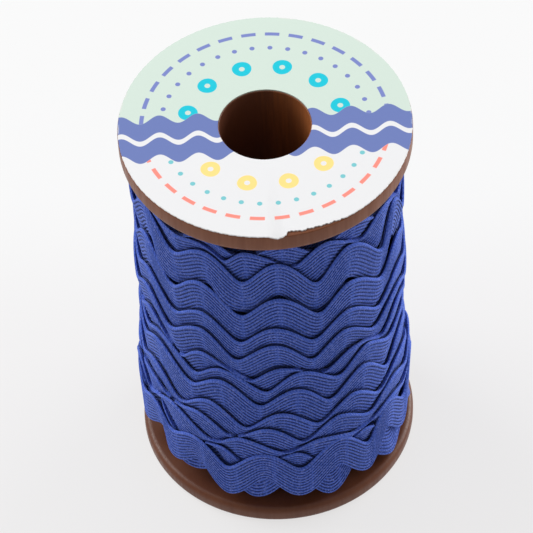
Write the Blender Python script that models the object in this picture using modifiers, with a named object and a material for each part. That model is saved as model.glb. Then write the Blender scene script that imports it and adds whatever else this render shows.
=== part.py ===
"""Roll of ric rac: a zigzag braid wound on a turned wooden spool with a paper label on its end.

Run with: blender --background --python part.py
Metres, +Z up. The origin is the centre of the spool's foot, and +Z runs up its axis.
Azimuths are counted from -Y, positive towards +X.
"""
import math

import bpy

MM = 0.001
TAU = 2 * math.pi

# Driving sizes of the spool
FLANGE_RADIUS = 25.4 * MM
FLANGE_THICKNESS = 3.5 * MM
RIM_ROUND = 1.2 * MM
TOP_RIM_ROUND = 0.5 * MM
SPOOL_HEIGHT = 80.9 * MM
CORE_RADIUS = 11.0 * MM
BORE_RADIUS = 7.9 * MM
BORE_CHAMFER = 0.4 * MM
RIM_STEPS = 3
TURNING_STEPS = 72
MERGE_DISTANCE = 0.01 * MM

# Clearance that touching pieces keep
SEAT_GAP = 0.3 * MM

# Driving sizes of the paper label
LABEL_THICKNESS = 0.4 * MM
LABEL_RADIUS = 25.2 * MM
LABEL_HOLE_RADIUS = 8.1 * MM

# Driving sizes of the wound braid
BRAID_THICKNESS = 1.0 * MM
WINDING_COLUMNS = 120
LEAST_SHOW = 0.3 * MM
TUCK_RISE = 0.15 * MM
CREST_POWER = 1.3
SHOULDER_RADIUS = 22.6 * MM
SHOULDER_DROP = 0.9 * MM
ROOT_RADIUS = 21.4 * MM
HEM_BELLY_INSET = 0.1 * MM
HEM_LIP_INSET = 0.3 * MM
HEM_BACK_INSET = 1.2 * MM
SHARP_ANGLE = 50

# Upper edges of the outer turns, from the top of the roll to its foot.
# crest: azimuth of the crest nearest the front, in degrees
# waves: zigzags in one turn
# height: crest height at the front, in millimetres
# fall: drop in one turn at the front's slope, in millimetres
# swing: crest to trough, in millimetres
# radius: reach of the turn's proud upper edge, in millimetres
TURNS = (
    # crest, waves, height, fall, swing, radius
    (2.4, 12, 73.3, 12.8, 6.0, 23.9),
    (2.4, 11, 64.0, 12.8, 5.3, 23.8),
    (0.9, 11, 56.2, 10.2, 4.3, 24.0),
    (-1.5, 11, 51.2, 9.5, 4.6, 24.3),
    (2.9, 11, 45.3, 2.0, 4.3, 24.2),
    (10.3, 11, 42.2, 1.1, 3.7, 24.0),
    (7.1, 11, 38.6, 11.3, 4.6, 23.9),
    (2.2, 12, 32.0, 5.0, 4.4, 24.2),
    (-3.8, 12, 28.1, 5.9, 3.5, 24.7),
    (-13.9, 11, 24.3, 7.8, 2.8, 25.0),
    (-7.1, 12, 20.8, -8.2, 5.2, 25.2),
)

# Lower edges of the last turn and of the turn beneath it, whose tips reach the lower flange.
# The columns are those of the turns, and crest is the azimuth of a notch between two tips.
HEMS = (
    # crest, waves, height, fall, swing, radius
    (-8.0, 12, 9.4, 1.0, 2.5, 24.9),
    (5.0, 11, 7.6, 10.0, 2.4, 24.1),
)


def clear_scene():
    for item in list(bpy.data.objects):
        bpy.data.objects.remove(item, do_unlink=True)


def new_collection(name):
    collection = bpy.data.collections.new(name)
    bpy.context.scene.collection.children.link(collection)
    return collection


def new_material(name, color, roughness, metallic=0.0):
    material = bpy.data.materials.new(name)
    material.use_nodes = True
    shader = material.node_tree.nodes["Principled BSDF"]
    shader.inputs["Base Color"].default_value = (*color, 1.0)
    shader.inputs["Roughness"].default_value = roughness
    shader.inputs["Metallic"].default_value = metallic
    return material


def arc(centre_x, centre_z, radius, start, end, steps):
    """Points of an arc in the profile's plane, from start to end in degrees."""
    points = []
    for step in range(steps + 1):
        angle = math.radians(start + (end - start) * step / steps)
        points.append((centre_x + radius * math.cos(angle), centre_z + radius * math.sin(angle)))
    return points


def turned(name, profile, collection, material):
    """A ring turned from a closed profile that runs down its outer side."""
    mesh = bpy.data.meshes.new(name)
    corners = [(x, 0.0, z) for x, z in profile]
    edges = [(step, (step + 1) % len(corners)) for step in range(len(corners))]
    mesh.from_pydata(corners, edges, [])
    ring = bpy.data.objects.new(name, mesh)
    collection.objects.link(ring)
    screw = ring.modifiers.new("turning", "SCREW")
    screw.steps = TURNING_STEPS
    screw.render_steps = TURNING_STEPS
    screw.use_merge_vertices = True
    screw.merge_threshold = MERGE_DISTANCE
    screw.use_smooth_shade = True
    ring.data.materials.append(material)
    return ring


def flange_rim(top, bottom, upper_round, lower_round):
    """A flange's outer edge from its upper face to its lower face, both corners rounded."""
    upper = arc(FLANGE_RADIUS - upper_round, top - upper_round, upper_round, 90, 0, RIM_STEPS)
    lower = arc(FLANGE_RADIUS - lower_round, bottom + lower_round, lower_round, 0, -90, RIM_STEPS)
    return upper + lower


def build_spool(collection):
    """Turned wooden spool: two flanges on a bored core."""
    wood = new_material("stained_wood", (0.075, 0.028, 0.014), 0.45)
    upper_face = SPOOL_HEIGHT - FLANGE_THICKNESS
    profile = [(BORE_RADIUS + BORE_CHAMFER, SPOOL_HEIGHT)]
    profile += flange_rim(SPOOL_HEIGHT, upper_face, TOP_RIM_ROUND, RIM_ROUND)
    profile += [(CORE_RADIUS, upper_face), (CORE_RADIUS, FLANGE_THICKNESS)]
    profile += flange_rim(FLANGE_THICKNESS, 0.0, RIM_ROUND, RIM_ROUND)
    profile += [(BORE_RADIUS + BORE_CHAMFER, 0.0), (BORE_RADIUS, BORE_CHAMFER)]
    profile += [(BORE_RADIUS, SPOOL_HEIGHT - BORE_CHAMFER)]
    return turned("spool", profile, collection, wood)


def build_label(collection):
    """Paper ring glued on the upper flange."""
    paper = new_material("label_paper", (0.72, 0.80, 0.76), 0.6)
    underside = SPOOL_HEIGHT + SEAT_GAP
    face = underside + LABEL_THICKNESS
    profile = [(LABEL_HOLE_RADIUS, face), (LABEL_RADIUS, face)]
    profile += [(LABEL_RADIUS, underside), (LABEL_HOLE_RADIUS, underside)]
    return turned("label", profile, collection, paper)


def edge_height(row, azimuth, dip):
    """Height of a zigzag edge that has dipped by a share of its swing."""
    _, _, height, fall, swing, _ = row
    return (height - fall / TAU * math.sin(azimuth) - swing * dip) * MM


def upper_edge(row, azimuth):
    """Height of a turn's upper edge: broad crests and narrow troughs."""
    half_phase = row[1] * (azimuth - math.radians(row[0])) / 2
    return edge_height(row, azimuth, 1.0 - abs(math.cos(half_phase)) ** CREST_POWER)


def lower_edge(row, azimuth):
    """Height of a turn's lower edge: narrow notches and broad tips."""
    half_phase = row[1] * (azimuth - math.radians(row[0])) / 2
    return edge_height(row, azimuth, abs(math.sin(half_phase)) ** CREST_POWER)


def wound_section(azimuth):
    """The winding's section at an azimuth, as (radius, height) from the upper flange down.

    Each turn is a shingle, proud at its upper edge and tucked in at its foot, where the
    next turn laps over it. The last two turns hang free as hems over the lower flange.
    """
    ceiling = SPOOL_HEIGHT - FLANGE_THICKNESS - SEAT_GAP
    floor = FLANGE_THICKNESS + SEAT_GAP
    edge = ceiling - SHOULDER_DROP
    tucked = SHOULDER_RADIUS
    outer = [(SHOULDER_RADIUS, ceiling), (SHOULDER_RADIUS + BRAID_THICKNESS / 2, edge)]
    for row in TURNS:
        radius = row[5] * MM
        edge = min(upper_edge(row, azimuth), edge - LEAST_SHOW)
        outer += [(tucked, edge + TUCK_RISE), (radius, edge)]
        tucked = radius - BRAID_THICKNESS
    for row in HEMS:
        radius = row[5] * MM
        above = edge
        edge = max(min(lower_edge(row, azimuth), above - LEAST_SHOW), floor)
        outer.append((radius - HEM_BELLY_INSET, (above + edge) / 2))
        outer.append((radius - HEM_LIP_INSET, edge))
        outer.append((radius - HEM_BACK_INSET, max(edge - TUCK_RISE, floor)))
    outer.append((ROOT_RADIUS, floor))
    inner = CORE_RADIUS + SEAT_GAP
    return outer + [(inner, floor), (inner, ceiling)]


def build_winding(collection):
    """The wound braid: a thick ring drawn into the section of its lapped zigzag turns."""
    cloth = new_material("blue_braid", (0.065, 0.105, 0.36), 0.8)
    rows = len(wound_section(0.0))
    bpy.ops.mesh.primitive_torus_add(major_segments=WINDING_COLUMNS, minor_segments=rows)
    ring = bpy.context.object
    ring.name = "winding"
    ring.data.name = "winding"
    for column in range(WINDING_COLUMNS):
        azimuth = TAU * column / WINDING_COLUMNS
        for row, (radius, height) in enumerate(reversed(wound_section(azimuth))):
            vertex = ring.data.vertices[column * rows + row]
            vertex.co = (radius * math.sin(azimuth), -radius * math.cos(azimuth), height)
    ring.data.shade_smooth()
    ring.data.set_sharp_from_angle(angle=math.radians(SHARP_ANGLE))
    ring.data.materials.append(cloth)
    for owner in list(ring.users_collection):
        owner.objects.unlink(ring)
    collection.objects.link(ring)
    return ring


clear_scene()
roll = new_collection("ric_rac_roll")
build_spool(roll)
build_winding(roll)
build_label(roll)
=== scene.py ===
import math

import bmesh
import bpy
import numpy as np
from mathutils import Euler, Matrix, Vector


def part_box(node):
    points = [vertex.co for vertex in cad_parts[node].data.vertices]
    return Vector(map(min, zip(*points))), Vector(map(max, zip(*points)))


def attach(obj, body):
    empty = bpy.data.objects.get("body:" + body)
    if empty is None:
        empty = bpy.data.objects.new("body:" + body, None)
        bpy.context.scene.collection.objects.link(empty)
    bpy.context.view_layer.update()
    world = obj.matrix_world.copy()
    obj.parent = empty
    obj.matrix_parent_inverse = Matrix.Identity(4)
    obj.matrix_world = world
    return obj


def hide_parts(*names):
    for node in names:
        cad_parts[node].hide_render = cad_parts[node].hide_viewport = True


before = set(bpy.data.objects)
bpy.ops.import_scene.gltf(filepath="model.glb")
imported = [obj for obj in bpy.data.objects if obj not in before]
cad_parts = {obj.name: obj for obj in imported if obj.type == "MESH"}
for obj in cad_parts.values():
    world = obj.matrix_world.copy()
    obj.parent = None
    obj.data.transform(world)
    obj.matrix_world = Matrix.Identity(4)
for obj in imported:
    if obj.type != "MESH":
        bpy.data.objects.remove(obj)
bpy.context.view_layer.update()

# The spool. One piece of close-grained hardwood, turned, bored right through, stained dark
# walnut brown and sealed to a satin finish. Its two thin flanges have softly rounded rims.
MM = 0.001
PAPER = 0.25 * MM
SPOOL_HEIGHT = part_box("label")[1].z - PAPER
FLANGE_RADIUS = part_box("spool")[1].x
FLANGE_THICKNESS = 3.5 * MM
UPPER_FLANGE_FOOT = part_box("spool")[1].z - FLANGE_THICKNESS
CORE_RADIUS = 11.0 * MM
BORE_RADIUS = 7.9 * MM
RIM_ROUND = 1.2 * MM
TOP_RIM_ROUND = 0.2 * MM
BORE_ROUND = 0.15 * MM
LATHE_FACES = 192
TOUCH = 0.05 * MM


def start_piece(name, add, **size):
    """Adds a primitive with nothing else selected and opens it for editing."""
    bpy.ops.object.select_all(action="DESELECT")
    add(**size)
    piece = bpy.context.object
    piece.name = name
    piece.data.name = name
    bpy.ops.object.transform_apply(location=True, rotation=True, scale=True)
    bpy.ops.object.mode_set(mode="EDIT")
    bpy.ops.mesh.select_all(action="DESELECT")
    return piece


def pick(piece, kind, test):
    """Selects the faces or edges whose corners all pass a test on radius and height."""
    bpy.ops.mesh.select_mode(type=kind)
    bpy.ops.mesh.select_all(action="DESELECT")
    work = bmesh.from_edit_mesh(piece.data)
    for part in work.faces if kind == "FACE" else work.edges:
        part.select_set(all(test(corner.co.xy.length, corner.co.z) for corner in part.verts))
    bmesh.update_edit_mesh(piece.data)


def bore_through(piece, rim_radius, hole_radius, ends):
    """Insets each end of a disc to the hole's size, opens it and joins the two rims."""
    for end in ends:
        pick(piece, "FACE", lambda radius, height: abs(height - end) < TOUCH)
        bpy.ops.mesh.inset(thickness=rim_radius - hole_radius)
        bpy.ops.mesh.delete(type="ONLY_FACE")
    pick(piece, "EDGE", lambda radius, height: radius < hole_radius + TOUCH)
    bpy.ops.mesh.bridge_edge_loops()


def round_edges(piece, radius_at, height_at, size, steps):
    """Bevels the ring of edges that lies at a radius and a height."""
    pick(
        piece, "EDGE",
        lambda radius, height: abs(radius - radius_at) < TOUCH and abs(height - height_at) < TOUCH,
    )
    bpy.ops.mesh.bevel(offset=size, segments=steps, profile=0.5, affect="EDGES")


def close_piece(piece, angle=40):
    """Turns the faces outwards and shades round places smooth."""
    bpy.ops.mesh.select_all(action="SELECT")
    bpy.ops.mesh.normals_make_consistent(inside=False)
    bpy.ops.object.mode_set(mode="OBJECT")
    bpy.ops.object.shade_smooth_by_angle(angle=math.radians(angle))


def add_node(tree, kind, sockets=None, **settings):
    """Adds a shader node. A socket takes a value or another node's output."""
    made = tree.nodes.new("ShaderNode" + kind)
    for name, value in settings.items():
        setattr(made, name, value)
    for name, value in (sockets or {}).items():
        if isinstance(value, bpy.types.NodeSocket):
            tree.links.new(value, made.inputs[name])
        else:
            made.inputs[name].default_value = value
    return made


def reckon(tree, operation, first, second=0.0, third=0.0):
    """Output of a Math node."""
    return add_node(tree, "Math", {0: first, 1: second, 2: third}, operation=operation).outputs[0]


def ramp(tree, value, low, high, start=0.0, end=1.0):
    """Output that runs smoothly from start at low to end at high."""
    sockets = {"Value": value, "From Min": low, "From Max": high, "To Min": start, "To Max": end}
    return add_node(tree, "MapRange", sockets, interpolation_type="SMOOTHSTEP").outputs["Result"]


def blend_colors(tree, share, first, second):
    """Output that goes from the first colour to the second."""
    made = add_node(tree, "Mix", data_type="RGBA")
    for place, value in ((0, share), (6, first), (7, second)):
        if isinstance(value, bpy.types.NodeSocket):
            tree.links.new(value, made.inputs[place])
        else:
            made.inputs[place].default_value = value
    return made.outputs[2]


def new_finish(name):
    """A material with its node tree and its Principled shader."""
    material = bpy.data.materials.new(name)
    material.use_nodes = True
    return material, material.node_tree, material.node_tree.nodes["Principled BSDF"]


def wood_finish():
    """Dark stained wood: fine upright grain, a barer orange bore with painted light on its right wall and
    painted shade on its left, painted shade over the foot, polished by handling.
    """
    material, tree, shader = new_finish("stained_wood")
    place = add_node(tree, "TexCoord").outputs["Object"]
    grain_place = add_node(tree, "Mapping", {"Vector": place, "Scale": (1500, 1500, 70)}).outputs[0]
    grain = add_node(tree, "TexNoise", {"Vector": grain_place, "Scale": 1.0, "Detail": 4.0, "Roughness": 0.6})
    broad_place = add_node(tree, "Mapping", {"Vector": place, "Scale": (260, 260, 24)}).outputs[0]
    broad = add_node(tree, "TexNoise", {"Vector": broad_place, "Scale": 1.0, "Detail": 3.0})
    half_broad = reckon(tree, "MULTIPLY", broad.outputs["Fac"], 0.5)
    streak = reckon(tree, "MULTIPLY_ADD", grain.outputs["Fac"], 0.5, half_broad)
    tone = ramp(tree, streak, 0.36, 0.66)
    color = blend_colors(tree, tone, (0.155, 0.046, 0.016, 1), (0.190, 0.061, 0.023, 1))
    axes = add_node(tree, "SeparateXYZ", {0: place}).outputs
    flat_place = add_node(tree, "CombineXYZ", {0: axes[0], 1: axes[1]}).outputs[0]
    radius = add_node(tree, "VectorMath", {0: flat_place}, operation="LENGTH").outputs["Value"]
    inside = ramp(tree, radius, BORE_RADIUS, BORE_RADIUS + BORE_ROUND, 1.0, 0.0)
    # Painted light and shade in the bore: its wall runs from a dark brown on the left to a lit orange on the
    # right.
    painted_bore_light = ramp(tree, reckon(tree, "MULTIPLY_ADD", tone, 3.5 * MM, axes[0]), 0.0, 9.5 * MM)
    bore_color = blend_colors(tree, painted_bore_light, (0.100, 0.034, 0.017, 1), (0.28, 0.090, 0.026, 1))
    color = blend_colors(tree, inside, color, bore_color)
    # Painted shade: everything below 9 mm, the lower flange most, is darkened towards a deep brown.
    foot = ramp(tree, axes[2], 3.0 * MM, 9.0 * MM, 0.45, 0.0)
    color = blend_colors(tree, foot, color, (0.06, 0.020, 0.012, 1))
    tree.links.new(color, shader.inputs["Base Color"])
    tree.links.new(ramp(tree, grain.outputs["Fac"], 0.3, 0.7, 0.50, 0.34), shader.inputs["Roughness"])
    bump = add_node(tree, "Bump", {"Height": grain.outputs["Fac"], "Strength": 0.2, "Distance": 0.00008})
    tree.links.new(bump.outputs[0], shader.inputs["Normal"])
    shader.inputs["Specular IOR Level"].default_value = 0.3
    return material


spool = start_piece(
    "spool_turned", bpy.ops.mesh.primitive_cylinder_add, vertices=LATHE_FACES, radius=FLANGE_RADIUS,
    depth=SPOOL_HEIGHT, location=(0, 0, SPOOL_HEIGHT / 2),
)
for waist in (FLANGE_THICKNESS, UPPER_FLANGE_FOOT):
    bpy.ops.mesh.select_all(action="SELECT")
    bpy.ops.mesh.bisect(plane_co=(0, 0, waist), plane_no=(0, 0, 1))
pick(
    spool, "FACE",
    lambda radius, height: FLANGE_THICKNESS - TOUCH < height < UPPER_FLANGE_FOOT + TOUCH,
)
bpy.ops.mesh.extrude_region_move()
core_share = CORE_RADIUS / FLANGE_RADIUS
bpy.ops.transform.resize(value=(core_share, core_share, 1), center_override=(0, 0, 0))
bore_through(spool, FLANGE_RADIUS, BORE_RADIUS, (0.0, SPOOL_HEIGHT))
for rim_height in (0.0, FLANGE_THICKNESS, UPPER_FLANGE_FOOT):
    round_edges(spool, FLANGE_RADIUS, rim_height, RIM_ROUND, 6)
round_edges(spool, FLANGE_RADIUS, SPOOL_HEIGHT, TOP_RIM_ROUND, 4)
for bore_end in (0.0, SPOOL_HEIGHT):
    round_edges(spool, BORE_RADIUS, bore_end, BORE_ROUND, 3)
close_piece(spool)
spool.data.materials.append(wood_finish())
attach(spool, "root")
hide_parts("spool")

# The braid. One length of wide ric rac, woven in blue yarn with ribs that follow its zigzag, and
# wound from the top of the core to its foot. Each turn laps over the lower half of the turn above,
# and an earlier layer shows in the gaps.

# Lengths are millimetres here. Angles are degrees along the winding: an azimuth plus 360 for each
# turn, counted from 0 at the top.
BRAID_WIDTH = 9.0
WIDE_PULL = 9.6
SLACK_WIDTH = 8.5
PULL_EASES = (360 * 12 - 230, 360 * 12 - 130)
BRAID_THICKNESS = 0.65
RIBS = 10
RIB_RELIEF = 0.14
EDGE_ROUND = 0.25
BEND_ROUND = 0.4
TROUGH_DEEPER = 0.4

# The dark crevice between a turn's upper edge and the turn above
CREVICE = 0.95
CREVICE_CHANGE = 0.1
FLUSH = 0.15
CLOSE_LAP = 0.85
CREVICE_FADE = 1.5
# How far above a later turn's edge, and below its hem, the painted shade fades out, in millimetres
CREVICE_SHADE = 0.3
LEAST_SHOW = 0.8
TURNS_OVER = 4
END_TAPER = 20

# How far the strip leans in for each millimetre down it, and how far a turn beneath stands out below
# the next hem, by azimuth
TIP_LEAN = 0.02
NOTCH_LEAN = ((-70, 0.16), (-20, 0.13), (20, 0.05), (60, 0.04), (165, 0.10))
HEM_FLARE = ((-100, 0.12), (-60, 0.06), (30, 0.06), (57, 0.15), (90, 0.17), (140, 0.06))
HEM_FALL = 9

# How the bends below were read: the line's share of the reach, and its drop as it goes round
LINE_DEPTH = 0.97
LINE_DROP = 28.6
READ_TO = 73

COMMON_SPACING = 31.8
TURN_COLUMNS = 300
RIB_ROWS = 4
WINDING_START = -180
LAST_ANGLE = 360 * 13 + 165

# The earlier layer
INNER_END = 360 * 9
INNER_REACH = 22.0
INNER_SLOPE = 1.1
INNER_SWING = 5.0
INNER_TOP = 76.4
INNER_FOOT = 18.6
INNER_LAST_FALL = 5
# Painted shade laid evenly over the whole earlier layer, which lies in the shadow of the outer one
INNER_SHADE = 0.75
INNER_COLUMNS = 132
INNER_RIB_ROWS = 3

# One row for each turn, from the upper flange down: how far its upper edge reaches at the left, the
# front and the right, then that edge's bends over the front, crests and troughs by turns, as azimuth
# and height. Azimuths are degrees from -Y, positive towards +X. Reaches and heights are millimetres.
TURNS = (
    (23.5, 23.6, 23.3, (
        (-156, 77.0), (-140, 75.0), (-124, 77.0), (-108, 75.0), (-92, 77.0),
        (-76, 74.5), (-60, 76.9), (-44, 73.5), (-28, 76.6), (-12, 73.5),
        (4, 76.9), (20, 73.0), (36, 76.6), (52, 73.5), (68, 76.8),
    )),
    (23.9, 23.7, 23.6, (
        (-60, 76.0), (-43, 74.5), (-32, 74.8), (-20, 72.4), (-11, 75.0),
        (8, 71.0), (23, 75.0), (39, 71.5), (54, 74.4),
    )),
    (24.2, 23.8, 23.8, (
        (-61, 75.8), (-44, 69.6), (-28, 73.0), (-13, 67.6), (2, 72.2),
        (18, 65.8), (33, 71.5), (52, 64.4), (62, 72.4),
    )),
    (23.8, 23.75, 23.6, (
        (-63, 66.4), (-46, 59.9), (-31, 64.3), (-14, 58.5), (2, 62.9),
        (19, 57.4), (34, 61.8), (52, 56.9), (66, 61.1),
    )),
    (24.0, 24.0, 24.0, (
        (-62, 57.5), (-46, 53.1), (-31, 56.4), (-15, 51.2), (0, 55.0),
        (16, 50.8), (32, 54.9), (49, 50.3), (65, 54.0),
    )),
    (24.5, 24.1, 24.2, (
        (-63, 52.7), (-49, 47.7), (-32, 51.7), (-17, 46.1), (0, 50.3),
        (15, 45.6), (30, 49.9), (46, 45.6), (63, 49.0),
    )),
    (24.3, 23.95, 24.0, (
        (-63, 46.3), (-45, 40.6), (-32, 44.8), (-12, 40.5), (2, 43.7),
        (19, 40.5), (35, 43.6), (51, 40.8), (65, 44.6),
    )),
    (24.0, 23.9, 23.6, (
        (-55, 42.0), (-37, 38.3), (-24, 41.8), (-5, 37.5), (10, 42.0),
        (27, 38.1), (42, 42.0), (58, 38.3), (72, 38.9),
    )),
    (24.3, 24.1, 23.7, (
        (-58, 39.6), (-39, 35.0), (-24, 38.7), (-8, 33.6), (8, 37.4),
        (22, 32.6), (39, 37.1), (54, 31.3), (68, 35.0),
    )),
    (24.6, 24.45, 24.2, (
        (-61, 32.5), (-45, 28.0), (-30, 32.1), (-14, 27.2), (1, 31.4),
        (17, 27.2), (33, 31.3), (48, 26.6), (66, 29.6),
    )),
    (25.0, 24.8, 24.7, (
        (-63, 27.9), (-51, 26.1), (-36, 27.8), (-20, 24.0), (-5, 27.4),
        (10, 23.2), (25, 27.4), (41, 23.7), (56, 26.7),
    )),
    (25.6, 24.95, 24.9, (
        (-80, 25.5), (-65, 22.4), (-49, 25.7), (-28, 21.2), (-16, 24.0),
        (3, 20.6), (17, 22.6), (37, 20.5), (53, 22.1),
    )),
    (25.6, 24.97, 24.95, (
        (-60, 21.7), (-44, 16.0), (-26, 20.1), (-12, 14.1), (6, 19.9),
        (21, 13.2), (37, 19.6), (56, 13.9), (72, 19.0),
    )),
    (25.5, 25.0, 25.0, (
        (-61, 20.8), (-51, 17.6), (-38, 19.8), (-23, 15.1), (-7, 20.1), (8, 15.8),
        (24, 21.2), (39, 15.5), (51, 22.0), (64, 17.6), (83, 22.3), (99, 17.0),
        (115, 21.6), (131, 16.6), (147, 21.2), (163, 16.4),
    )),
)

# Places where a turn's upper edge stands off, or less than nothing, where it lies flush. Turns are
# counted from 0 at the top, and azimuths and widths are degrees along the edge.
OPENINGS = (
    # turn, azimuth, width, extra gap in millimetres
    (3, -54, 6, -0.8), (3, -43, 3, 0.3), (3, -31, 5, 0.2), (3, -22, 5, -0.8), (3, -13, 3, 0.35),
    (3, 2, 6, 0.3), (3, 20, 5, 0.3),
    (6, -13, 6, 0.3), (6, 2, 6, 0.25), (6, 21, 7, 0.4), (6, 35, 6, 0.3), (9, 47, 6, 0.15), (12, 42, 4, 0.8),
    (13, -68, 9, 0.9), (13, -31, 6, 0.5), (13, 70, 7, 0.8),
)

# Places where an edge is sunk between its neighbours, in the same columns.
SUNK_EDGES = ((12, -70, 9, 1.8), (12, 72, 8, 1.5))


def at_edge(azimuth, height):
    """Moves a bend, read on the dark line behind the edge, to the edge itself, farther to its side."""
    if abs(azimuth) > READ_TO:
        return azimuth, height
    turned = math.radians(azimuth)
    farther = math.asin(math.sin(turned) / LINE_DEPTH)
    shift = LINE_DEPTH * math.cos(farther) + 1 - LINE_DEPTH - math.cos(turned)
    return math.degrees(farther), height + LINE_DROP * shift


def along_winding(pick_bends, deeper):
    """Angles along the whole winding, and heights there, of some of each turn's bends."""
    angles, heights = [], []
    for turn, (_, _, _, bends) in enumerate(TURNS):
        for bend in bends[pick_bends]:
            azimuth, height = at_edge(*bend)
            angles.append(360 * turn + azimuth)
            heights.append(height - deeper)
    return angles, heights


def count_bends():
    """Zigzags counted along the winding: whole numbers at the crests, halves at the troughs."""
    angles, counts = [], []
    for turn, (_, _, _, bends) in enumerate(TURNS):
        first = 0
        if turn:
            first = round(counts[-1] + (360 * turn + bends[0][0] - angles[-1]) / COMMON_SPACING)
        for step, bend in enumerate(bends):
            angles.append(360 * turn + at_edge(*bend)[0])
            counts.append(first + step / 2)
    return angles, counts


CRESTS = along_winding(slice(0, None, 2), 0.0)
TROUGHS = along_winding(slice(1, None, 2), TROUGH_DEEPER)
COUNTS = count_bends()
SIDE_ANGLES = [360 * turn + side for turn in range(len(TURNS)) for side in (-90, -55, 55, 90)]
SIDE_REACHES = [row[side] for row in TURNS for side in (0, 1, 1, 2)]


def wander(angle, size, start):
    """Slow unevenness along the winding."""
    turn = np.radians(angle)
    waves = np.sin(1.7 * turn + start) + 0.6 * np.sin(4.3 * turn + 2 * start)
    waves = waves + 0.4 * np.sin(9.1 * turn + start)
    return size * waves / 2


def rounded(share):
    """Size of a sine or cosine, from 0 to 1, with its sharp foot rounded."""
    return (np.hypot(share, BEND_ROUND) - BEND_ROUND) / (np.hypot(1, BEND_ROUND) - BEND_ROUND)


def zigzag(crest, swing, count, across, width):
    """Height of a line along the braid: across is 0 at its upper edge and 1 at its lower edge."""
    upper_dip = 1 - rounded(np.cos(np.pi * count))
    lower_dip = rounded(np.sin(np.pi * count))
    return crest - width * across - swing * ((1 - across) * upper_dip + across * lower_dip)


def strand_height(angle, across):
    """Height of a line along the braid at an angle along the winding."""
    crest = np.interp(angle, *CRESTS)
    swing = crest - np.interp(angle, *TROUGHS)
    width = np.interp(angle, PULL_EASES, (WIDE_PULL, SLACK_WIDTH))
    return zigzag(crest, swing, np.interp(angle, *COUNTS), across, width)


def gather(angle, places):
    """Sum of soft bumps at places along the winding."""
    total = np.zeros_like(angle)
    for turn, azimuth, width, size in places:
        total = total + size * np.exp(-(((angle - 360 * turn - azimuth) / width) ** 2))
    return total


def edge_reach(angle):
    """How far the upper edge reaches from the axis."""
    evenly = np.interp(angle, SIDE_ANGLES, SIDE_REACHES)
    return evenly + wander(angle, 0.08, 1.3) - gather(angle, SUNK_EDGES)


def crevice(angle):
    """How far the turn above runs behind the upper edge of the turn at an angle."""
    gap = CREVICE + wander(7 * angle, CREVICE_CHANGE, 0.7) + gather(angle, OPENINGS)
    return np.maximum(gap, FLUSH)


def outer_turn(angle, across):
    """Count, height, reach and painted lap shade of the outer layer: out at its own upper edge, in under
    later turns.
    """
    height = strand_height(angle, across)
    reach = None
    azimuth = (angle + 180) % 360 - 180
    notch_lean = np.interp(azimuth, *zip(*NOTCH_LEAN))
    flare = np.interp(azimuth, *zip(*HEM_FLARE))
    for later in range(TURNS_OVER, -1, -1):
        at = angle + 360 * later
        own_edge = strand_height(at, 0.0)
        drop = own_edge - height
        tip = rounded(np.sin(np.pi * np.interp(at, *COUNTS)))
        lean = notch_lean + (TIP_LEAN - notch_lean) * tip
        free = edge_reach(at) - lean * np.clip(drop, 0, own_edge - strand_height(at, 1.0))
        if reach is None:
            reach = free
            continue
        next_edge = strand_height(at + 360, 0.0)
        next_hem = strand_height(at + 360, 1.0)
        share = np.clip(drop / np.maximum(own_edge - next_edge, LEAST_SHOW), 0, 1)
        gap = crevice(at + 360)
        shown = edge_reach(at) + (edge_reach(at + 360) - gap - edge_reach(at)) * share
        depth = np.maximum(next_edge - height, 0)
        under = CLOSE_LAP + (gap - CLOSE_LAP) * np.exp(-depth / CREVICE_FADE)
        under = under - flare * np.clip(next_hem - height, 0, HEM_FALL)
        covered = np.where(height > next_edge, shown, reach - under)
        here = np.clip((LAST_ANGLE - at - 360) / END_TAPER, 0, 1)
        reach = free + (covered - free) * here
    # Painted shade: full where a later turn covers this one, fading out above its edge and below its hem.
    above = np.clip((height - next_edge) / CREVICE_SHADE, 0, 1)
    below = np.clip((next_hem - height) / CREVICE_SHADE, 0, 1)
    return np.interp(angle, *COUNTS), height, reach, (1 - np.maximum(above, below)) * here


def inner_turn(angle, across):
    """Count, height, reach and painted shade of the earlier layer, which is evenly wound and evenly painted
    darker as shade.
    """
    count = angle / COMMON_SPACING
    levels = (INNER_TOP, INNER_FOOT + INNER_LAST_FALL, INNER_FOOT)
    crest = np.interp(angle, (360, INNER_END - 450, INNER_END - 360), levels)
    height = zigzag(crest, INNER_SWING, count, across, BRAID_WIDTH)
    reach = INNER_REACH - INNER_SLOPE * across + wander(angle, 0.2, 0.2)
    return count, height, reach, np.full_like(height, INNER_SHADE)


def rib_relief(across):
    """Ribs along the braid, and its rounded edges."""
    ribs = RIB_RELIEF * np.abs(np.sin(np.pi * RIBS * across)) ** 0.7
    margin = np.minimum(across, 1 - across) * BRAID_WIDTH
    return ribs - EDGE_ROUND * np.clip(1 - margin / 0.5, 0, 1) ** 2


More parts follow.
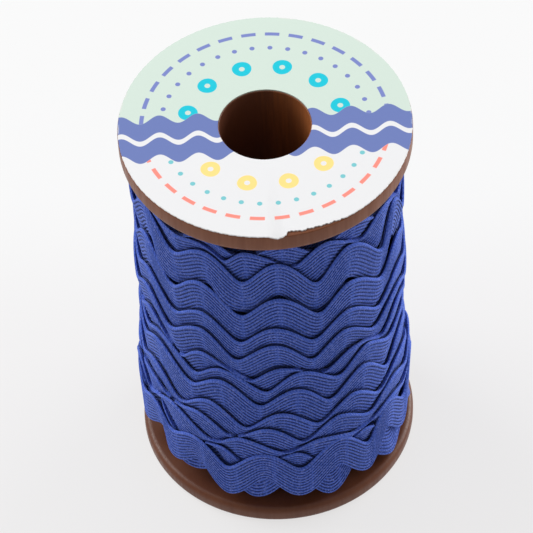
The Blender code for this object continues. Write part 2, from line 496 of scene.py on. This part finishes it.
def lay_braid(name, turn_shape, first, last, columns, rib_rows):
    """A flat strip with rows for its ribs, laid along the winding from one angle to another and thickened."""
    strip = start_piece(
        name, bpy.ops.mesh.primitive_grid_add, x_subdivisions=round((last - first) / 360 * columns),
        y_subdivisions=RIBS * rib_rows, size=1.0, calc_uvs=True,
    )
    bpy.ops.object.mode_set(mode="OBJECT")
    places = np.empty(len(strip.data.vertices) * 3)
    strip.data.vertices.foreach_get("co", places)
    places = places.reshape(-1, 3)
    across = 0.5 - places[:, 1]
    angle = first + (places[:, 0] + 0.5) * (last - first)
    count, height, reach, lap_shade = turn_shape(angle, across)
    reach = reach + rib_relief(across)
    turn = np.radians(angle)
    laid = np.stack((reach * np.sin(turn), -reach * np.cos(turn), height), 1) * MM
    strip.data.vertices.foreach_set("co", laid.ravel())
    # The attribute carries the painted lap shade to the yarn's finish.
    strip.data.attributes.new("lap_shade", "FLOAT", "POINT").data.foreach_set("value", lap_shade)
    corner_points = np.empty(len(strip.data.loops), dtype=int)
    strip.data.loops.foreach_get("vertex_index", corner_points)
    weave = np.stack((count - count.min(), across), 1)[corner_points]
    strip.data.uv_layers.active.data.foreach_set("uv", weave.ravel())
    strip.data.update()
    wall = strip.modifiers.new("thickness", "SOLIDIFY")
    wall.thickness = BRAID_THICKNESS * MM
    wall.offset = -1
    bpy.ops.object.modifier_apply(modifier=wall.name)
    bpy.ops.object.shade_smooth_by_angle(angle=math.radians(60))
    return strip


def braid_finish():
    """Blue yarn: fine slanting stitches, grooves between the ribs painted dark as shade, a seam at each bend,
    a soft sheen.
    """
    material, tree, shader = new_finish("blue_yarn")
    strand = add_node(tree, "SeparateXYZ", {0: add_node(tree, "UVMap", uv_map="UVMap").outputs[0]})
    rib = reckon(tree, "MULTIPLY", strand.outputs[1], float(RIBS))
    from_middle = reckon(tree, "ABSOLUTE", reckon(tree, "SUBTRACT", reckon(tree, "FRACT", rib), 0.5))
    along = reckon(tree, "MULTIPLY", strand.outputs[0], 26.0)
    slant = reckon(tree, "MULTIPLY_ADD", from_middle, 1.1, along)
    stitch = reckon(tree, "ABSOLUTE", reckon(tree, "SINE", reckon(tree, "MULTIPLY", slant, math.pi)))
    half_wave = reckon(tree, "FRACT", reckon(tree, "MULTIPLY_ADD", strand.outputs[0], 2.0, 0.5))
    from_bend = reckon(tree, "ABSOLUTE", reckon(tree, "SUBTRACT", half_wave, 0.5))
    bend = ramp(tree, from_bend, 0.0, 0.10, 1.0, 0.0)
    place = add_node(tree, "TexCoord").outputs["Object"]
    fuzz = add_node(tree, "TexNoise", {"Vector": place, "Scale": 2600.0, "Detail": 2.0})
    mottle = add_node(tree, "TexNoise", {"Vector": place, "Scale": 170.0, "Detail": 2.0})
    uneven = reckon(tree, "MULTIPLY_ADD", mottle.outputs["Fac"], 1.0, 0.45)
    groove = reckon(tree, "MULTIPLY", ramp(tree, from_middle, 0.17, 0.44), uneven)
    groove = reckon(tree, "MULTIPLY", groove, reckon(tree, "MULTIPLY_ADD", bend, -0.55, 1.0))
    margin = reckon(tree, "MINIMUM", rib, reckon(tree, "SUBTRACT", float(RIBS), rib))
    groove = reckon(tree, "MULTIPLY", groove, ramp(tree, margin, 0.35, 0.75))
    tone = reckon(tree, "MULTIPLY_ADD", fuzz.outputs["Fac"], 0.55, reckon(tree, "MULTIPLY", stitch, 0.22))
    tone = reckon(tree, "MULTIPLY_ADD", mottle.outputs["Fac"], 0.3, tone)
    deep_blue = (0.032, 0.070, 0.325, 1)
    bright_blue = (0.078, 0.142, 0.57, 1)
    color = blend_colors(tree, ramp(tree, tone, 0.30, 0.75), deep_blue, bright_blue)
    groove = reckon(tree, "MINIMUM", groove, 1.0)
    # Painted shade: the grooves between the ribs, which also sink in the bump, are darkened towards navy.
    color = blend_colors(tree, groove, color, (0.008, 0.017, 0.12, 1))
    fleck = add_node(tree, "TexNoise", {"Vector": place, "Scale": 3400.0, "Detail": 0.0})
    flecked = ramp(tree, fleck.outputs["Fac"], 0.59, 0.70, 0.0, 0.6)
    color = blend_colors(tree, flecked, color, (0.17, 0.22, 0.60, 1))
    # Painted shade: the yarn is darkened to deep navy where a later turn covers it, and over the earlier
    # layer.
    lap_shade = add_node(tree, "Attribute", attribute_name="lap_shade").outputs["Fac"]
    shade = reckon(tree, "MULTIPLY", reckon(tree, "POWER", lap_shade, 2.0), 0.6)
    color = blend_colors(tree, shade, color, (0.003, 0.006, 0.04, 1))
    tree.links.new(color, shader.inputs["Base Color"])
    relief = reckon(tree, "MULTIPLY_ADD", stitch, 0.35, reckon(tree, "MULTIPLY", fuzz.outputs["Fac"], 0.8))
    relief = reckon(tree, "MULTIPLY_ADD", groove, -1.2, relief)
    bump = add_node(tree, "Bump", {"Height": relief, "Strength": 0.6, "Distance": 0.00018})
    tree.links.new(bump.outputs[0], shader.inputs["Normal"])
    shader.inputs["Roughness"].default_value = 0.9
    shader.inputs["Sheen Weight"].default_value = 0.18
    shader.inputs["Sheen Roughness"].default_value = 0.4
    shader.inputs["Sheen Tint"].default_value = (0.55, 0.68, 1.0, 1)
    shader.inputs["Specular IOR Level"].default_value = 0.2
    return material


blue_yarn = braid_finish()
PIECE_LENGTH = 360 * 3
piece_ends = [WINDING_START + PIECE_LENGTH * step for step in range(5)] + [LAST_ANGLE]
piece_names = ("braid_top", "braid_upper", "braid_middle", "braid_lower", "braid_foot")
braid_parts = [
    (name, outer_turn, first, last, TURN_COLUMNS, RIB_ROWS)
    for name, first, last in zip(piece_names, piece_ends, piece_ends[1:])
]
braid_parts.append(("braid_inner", inner_turn, 0, INNER_END, INNER_COLUMNS, INNER_RIB_ROWS))
for braid_part in braid_parts:
    braid = lay_braid(*braid_part)
    braid.data.materials.append(blue_yarn)
    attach(braid, "root")
    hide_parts("winding")

# The label. A ring of printed paper, cut to the flange and glued on its upper end. Its front edge
# is torn, and it carries a plain pattern of wavy fields, running stitches, dots and buttons.
LABEL_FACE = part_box("label")[1].z
LABEL_FOOT = LABEL_FACE - PAPER
LABEL_RADIUS = 25.3 * MM
LABEL_HOLE = 8.1 * MM
EDGE_STRIP = 1.3 * MM
LABEL_CUTS = 720
label = start_piece(
    "label_ring", bpy.ops.mesh.primitive_cylinder_add, vertices=LABEL_CUTS, radius=LABEL_RADIUS,
    depth=LABEL_FACE - LABEL_FOOT, location=(0, 0, (LABEL_FACE + LABEL_FOOT) / 2),
)
bore_through(label, LABEL_RADIUS, LABEL_HOLE, (LABEL_FOOT, LABEL_FACE))
pick(label, "FACE", lambda radius, height: abs(height - LABEL_FACE) < TOUCH)
bpy.ops.mesh.inset(thickness=EDGE_STRIP)
close_piece(label, angle=1)

# Torn edge, as azimuth in degrees against the paper lost from the rim in millimetres. Less than
# nothing stands out: it is the frayed tab beside the tear.
TEAR = (
    (-180, 0.0), (-0.8, 0.0), (0.3, -0.15), (2.5, -0.3), (4.8, -0.15), (6.0, 0.25),
    (6.6, 0.75), (9.4, 0.85), (11.0, 0.6), (12.3, 0.5), (15.0, 0.6), (17.0, 0.58),
    (21.7, 0.42), (26.2, 0.3), (30.0, 0.05), (34.0, 0.0), (180, 0.0),
)
tear_azimuths, tear_depths = zip(*TEAR)
for corner in label.data.vertices:
    radius = corner.co.xy.length
    if radius < LABEL_RADIUS - TOUCH:
        continue
    azimuth = math.degrees(math.atan2(corner.co.x, -corner.co.y))
    lost = np.interp(azimuth, tear_azimuths, tear_depths)
    frayed = 0.05 * math.sin(azimuth * 2.9) * math.sin(azimuth * 1.13 + 1) * (1 + 2 * (lost > 0.1))
    droop = max(-lost, 0) * 0.8
    corner.co.xy *= 1 - (lost + frayed) * MM / radius
    corner.co.z -= droop * MM


def dot_ring(tree, angle, radius, ring, count, size):
    """Mask of round dots evenly set on a ring, in millimetres."""
    cell = reckon(tree, "FRACT", reckon(tree, "MULTIPLY", angle, count / math.tau))
    sideways = reckon(tree, "MULTIPLY", reckon(tree, "SUBTRACT", cell, 0.5), math.tau * ring / count)
    outwards = reckon(tree, "SUBTRACT", radius, ring)
    across = reckon(tree, "MULTIPLY", outwards, outwards)
    distance = reckon(tree, "SQRT", reckon(tree, "MULTIPLY_ADD", sideways, sideways, across))
    return ramp(tree, distance, size - 0.06, size + 0.06, 1.0, 0.0)


def stitch_ring(tree, angle, radius, ring, count, width):
    """Mask of running stitches on a ring, in millimetres."""
    cell = reckon(tree, "FRACT", reckon(tree, "MULTIPLY", angle, count / math.tau))
    from_middle = reckon(tree, "ABSOLUTE", reckon(tree, "SUBTRACT", cell, 0.5))
    off_ring = reckon(tree, "ABSOLUTE", reckon(tree, "SUBTRACT", radius, ring))
    length = ramp(tree, from_middle, 0.29, 0.32, 1.0, 0.0)
    breadth = ramp(tree, off_ring, width / 2 - 0.06, width / 2 + 0.06, 1.0, 0.0)
    return reckon(tree, "MULTIPLY", length, breadth)


def print_finish():
    """Printed paper: a mint field, a wavy violet-blue band, a white field, stitches and buttons."""
    material, tree, shader = new_finish("label_print")
    place = add_node(tree, "TexCoord").outputs["Object"]
    in_mm = add_node(tree, "VectorMath", {0: place, 1: (1000, 1000, 1000)}, operation="MULTIPLY")
    axes = add_node(tree, "SeparateXYZ", {0: in_mm.outputs[0]}).outputs
    depth_squared = reckon(tree, "MULTIPLY", axes[1], axes[1])
    radius = reckon(tree, "SQRT", reckon(tree, "MULTIPLY_ADD", axes[0], axes[0], depth_squared))
    angle = reckon(tree, "ARCTAN2", axes[1], axes[0])
    wave = reckon(tree, "SINE", reckon(tree, "MULTIPLY", axes[0], math.tau / 6.6))
    level = reckon(tree, "ADD", axes[1], 2.2)
    level = reckon(tree, "MULTIPLY_ADD", wave, -0.95, level)
    off_level = reckon(tree, "ABSOLUTE", level)
    upper_field = ramp(tree, level, 4.45, 4.57)
    lower_field = ramp(tree, level, -4.57, -4.45, 1.0, 0.0)
    white = (0.72, 0.72, 0.73, 1)
    mint = (0.565, 0.665, 0.595, 1)
    violet_blue = (0.131, 0.178, 0.423, 1)
    color = blend_colors(tree, upper_field, violet_blue, mint)
    color = blend_colors(tree, lower_field, color, white)
    color = blend_colors(tree, ramp(tree, off_level, 0.5, 0.62, 1.0, 0.0), color, white)
    stitches = stitch_ring(tree, angle, radius, 21.3, 32, 0.75)
    color = blend_colors(tree, reckon(tree, "MULTIPLY", stitches, upper_field), color, (0.17, 0.21, 0.50, 1))
    color = blend_colors(tree, reckon(tree, "MULTIPLY", stitches, lower_field), color, (0.86, 0.25, 0.20, 1))
    dots = dot_ring(tree, angle, radius, 18.0, 36, 0.45)
    color = blend_colors(tree, reckon(tree, "MULTIPLY", dots, upper_field), color, (0.17, 0.21, 0.50, 1))
    color = blend_colors(tree, reckon(tree, "MULTIPLY", dots, lower_field), color, (0.17, 0.52, 0.56, 1))
    buttons = dot_ring(tree, angle, radius, 13.6, 12, 1.7)
    holes = dot_ring(tree, angle, radius, 13.6, 12, 0.5)
    buttons = reckon(tree, "SUBTRACT", buttons, holes)
    color = blend_colors(tree, reckon(tree, "MULTIPLY", buttons, upper_field), color, (0.0, 0.50, 0.62, 1))
    color = blend_colors(tree, reckon(tree, "MULTIPLY", buttons, lower_field), color, (0.90, 0.66, 0.22, 1))
    fibre = add_node(tree, "TexNoise", {"Vector": place, "Scale": 1400.0, "Detail": 3.0})
    worn = add_node(tree, "TexNoise", {"Vector": place, "Scale": 420.0, "Detail": 3.0})
    rim = ramp(tree, radius, 24.95, 25.25)
    chips = reckon(tree, "MULTIPLY", rim, ramp(tree, worn.outputs["Fac"], 0.5, 0.6))
    color = blend_colors(tree, reckon(tree, "MULTIPLY", chips, 0.5), color, (0.70, 0.69, 0.66, 1))
    tree.links.new(color, shader.inputs["Base Color"])
    tree.links.new(ramp(tree, fibre.outputs["Fac"], 0.35, 0.65, 0.62, 0.5), shader.inputs["Roughness"])
    bump = add_node(tree, "Bump", {"Height": fibre.outputs["Fac"], "Strength": 0.12, "Distance": 0.00008})
    tree.links.new(bump.outputs[0], shader.inputs["Normal"])
    shader.inputs["Specular IOR Level"].default_value = 0.3
    return material


label.data.materials.append(print_finish())
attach(label, "root")
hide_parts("label")

# The floor, a pale matt sweep that glows with its own even light, painted a little greyer towards the front
# as shade, under soft side lights.
bpy.ops.object.select_all(action="DESELECT")
bpy.ops.mesh.primitive_plane_add(size=4.0)
floor = bpy.context.object
floor.name = "floor"
floor_paint, floor_tree, floor_shader = new_finish("pale_floor")
floor_place = add_node(floor_tree, "TexCoord").outputs["Object"]
floor_depth = add_node(floor_tree, "SeparateXYZ", {0: floor_place}).outputs[1]
# Painted shade: the floor's glow is greyer towards the front.
floor_shade_fade = ramp(floor_tree, floor_depth, 0.015, 0.062)
floor_color = blend_colors(floor_tree, floor_shade_fade, (0.845, 0.835, 0.835, 1), (0.90, 0.90, 0.90, 1))
floor_tree.links.new(floor_color, floor_shader.inputs["Emission Color"])
floor_shader.inputs["Base Color"].default_value = (0.15, 0.15, 0.15, 1)
floor_shader.inputs["Emission Strength"].default_value = 0.83
floor_shader.inputs["Roughness"].default_value = 0.9
floor_shader.inputs["Specular IOR Level"].default_value = 0.1
floor.data.materials.append(floor_paint)

sky = bpy.data.worlds.new("studio")
bpy.context.scene.world = sky
sky.use_nodes = True
sky.node_tree.nodes["Background"].inputs["Color"].default_value = (1.0, 1.0, 1.0, 1)
sky.node_tree.nodes["Background"].inputs["Strength"].default_value = 0.41


def soft_light(name, place, size, power, aim=(0, 0, 0.04)):
    """A square soft box that faces the object."""
    lamp = bpy.data.lights.new(name, "AREA")
    lamp.size = size
    lamp.energy = power
    holder = bpy.data.objects.new(name, lamp)
    bpy.context.scene.collection.objects.link(holder)
    holder.location = place
    holder.rotation_euler = (Vector(place) - Vector(aim)).to_track_quat("Z", "Y").to_euler()


soft_light("left_box", (-0.8, 0.45, 0.75), 0.7, 11.0)
soft_light("right_box", (0.8, 0.50, 0.30), 0.7, 11.0)
soft_light("top_box", (-0.1, 0.25, 1.1), 0.9, 2.0)

# The camera, far off and looking down on the roll, a little turned about its own line of sight.
CAMERA_DISTANCE = 0.6264
CAMERA_TARGET = (-0.00096, 0.0, 0.04345)
CAMERA_ELEVATION = 50.234
CAMERA_ROLL = -2.895
camera = bpy.data.objects.new("camera", bpy.data.cameras.new("camera"))
bpy.context.scene.collection.objects.link(camera)
camera.data.sensor_width = 36.0
camera.data.lens = 235.04
tilt = Euler((math.radians(90 - CAMERA_ELEVATION), 0, 0)).to_matrix()
turned = tilt @ Matrix.Rotation(math.radians(CAMERA_ROLL), 3, "Z")
camera_place = Vector(CAMERA_TARGET) + turned.col[2] * CAMERA_DISTANCE
camera.matrix_world = Matrix.Translation(camera_place) @ turned.to_4x4()
camera.data.clip_start = 0.05
camera.data.clip_end = 10.0
bpy.context.scene.camera = camera
bpy.context.scene.view_settings.view_transform = "Standard"
